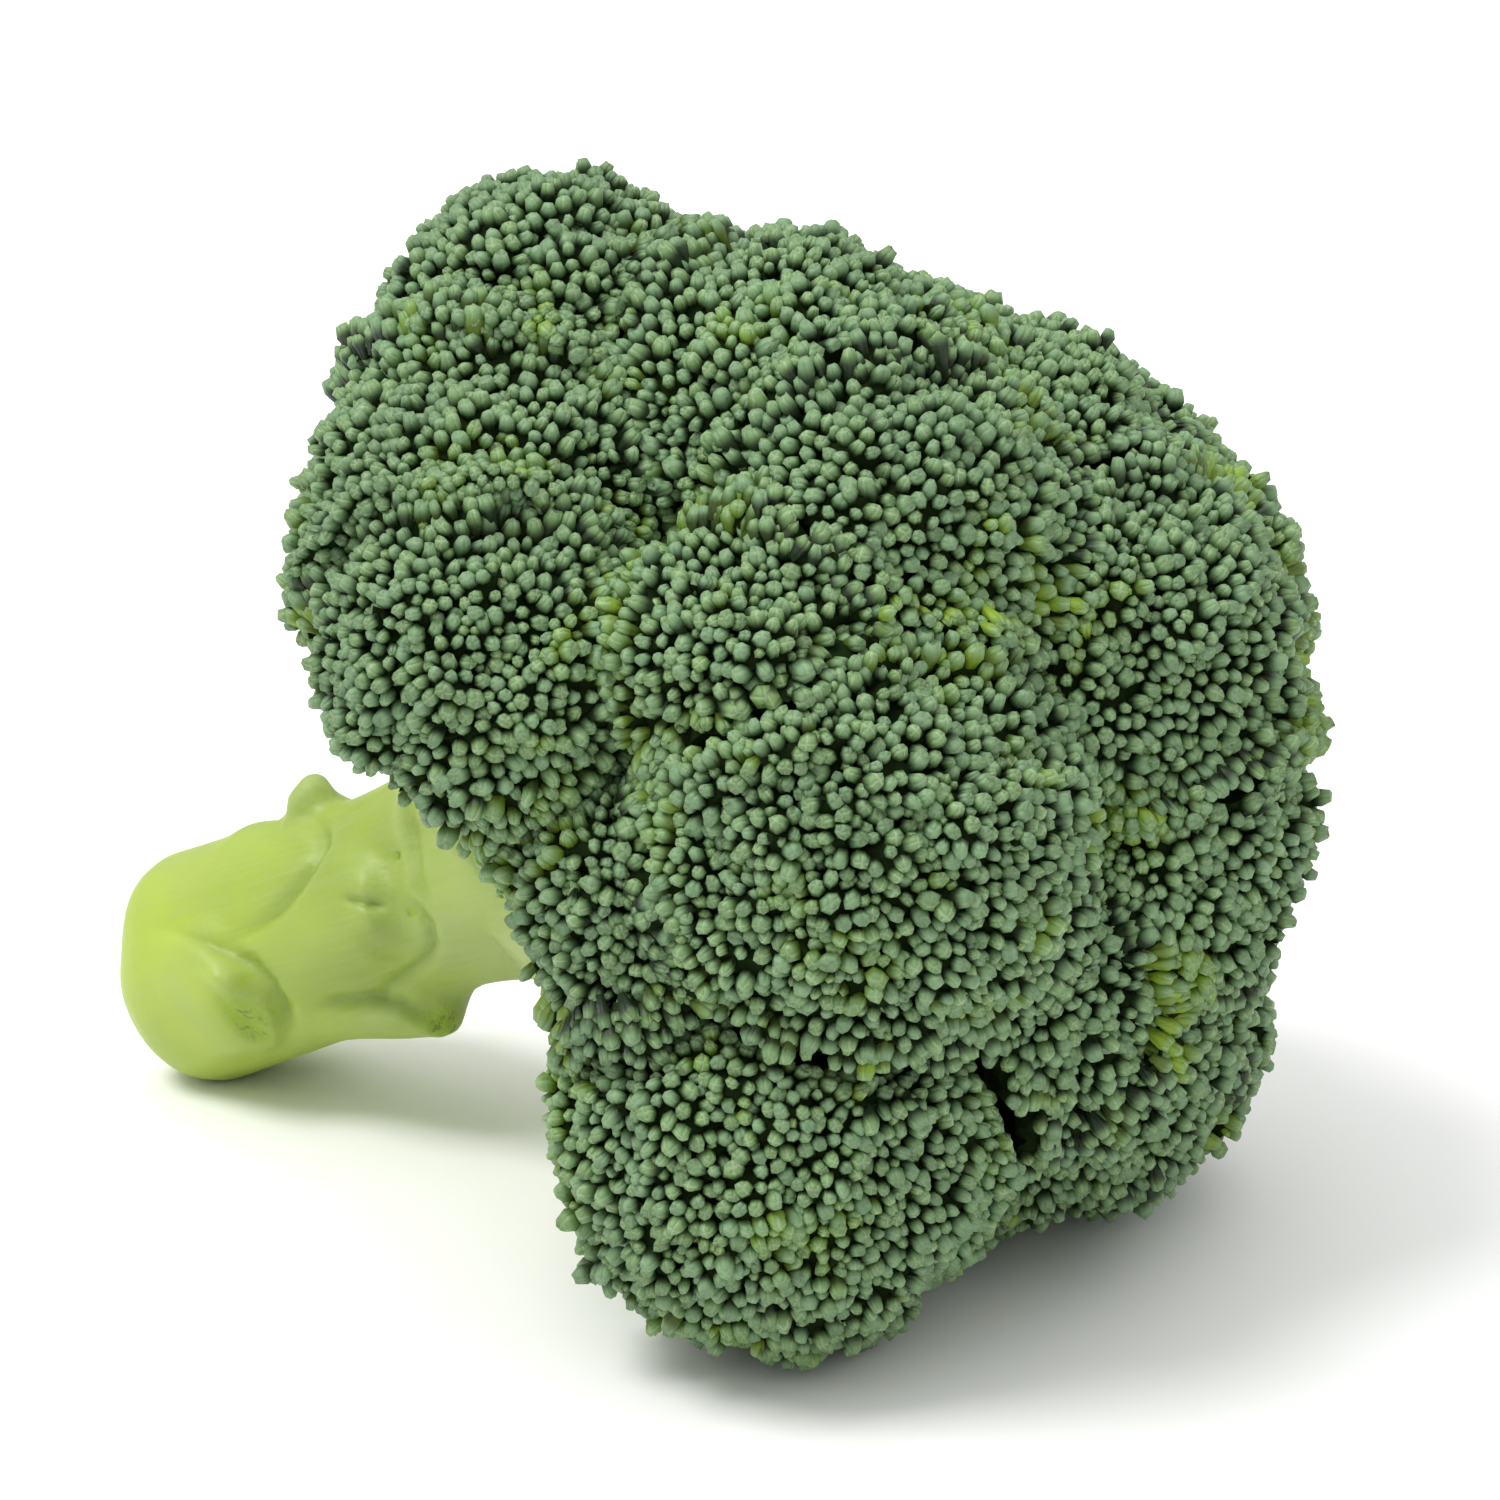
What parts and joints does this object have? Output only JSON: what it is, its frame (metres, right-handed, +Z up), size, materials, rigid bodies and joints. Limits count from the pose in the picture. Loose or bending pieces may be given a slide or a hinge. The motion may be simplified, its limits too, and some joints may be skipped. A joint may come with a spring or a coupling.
{
  "type": "broccoli head",
  "caption": "Head of broccoli lying on its side: a pale trimmed stalk that parts into branches, each with a domed floret of green buds.",
  "frame": {"origin": "on the surface that the head lies on, under the middle of its bounding box", "axes": "+X from the stalk's cut end towards the crown, +Z up"},
  "size_m": [0.182, 0.1508, 0.1435],
  "materials": {
    "stalk green": "moist pale green stem flesh, satin",
    "bud green": "waxy blue-green flower buds, matt"
  },
  "bodies": {
    "root": {"stalk": "stalk green", "floret_brow": "bud green", "floret_chin": "bud green", "floret_face_low": "bud green", "floret_face_middle": "bud green", "floret_face_side": "bud green", "floret_face_top": "bud green", "floret_far_face": "bud green", "floret_far_shoulder": "bud green", "floret_far_side": "bud green", "floret_far_top": "bud green", "floret_foot_back": "bud green", "floret_foot_far": "bud green", "floret_foot_front": "bud green", "floret_foot_nose": "bud green", "floret_nose": "bud green", "floret_shoulder": "bud green", "floret_side": "bud green", "floret_side_low": "bud green", "floret_top_front": "bud green", "floret_top_rear": "bud green"}
  },
  "joints": []
}
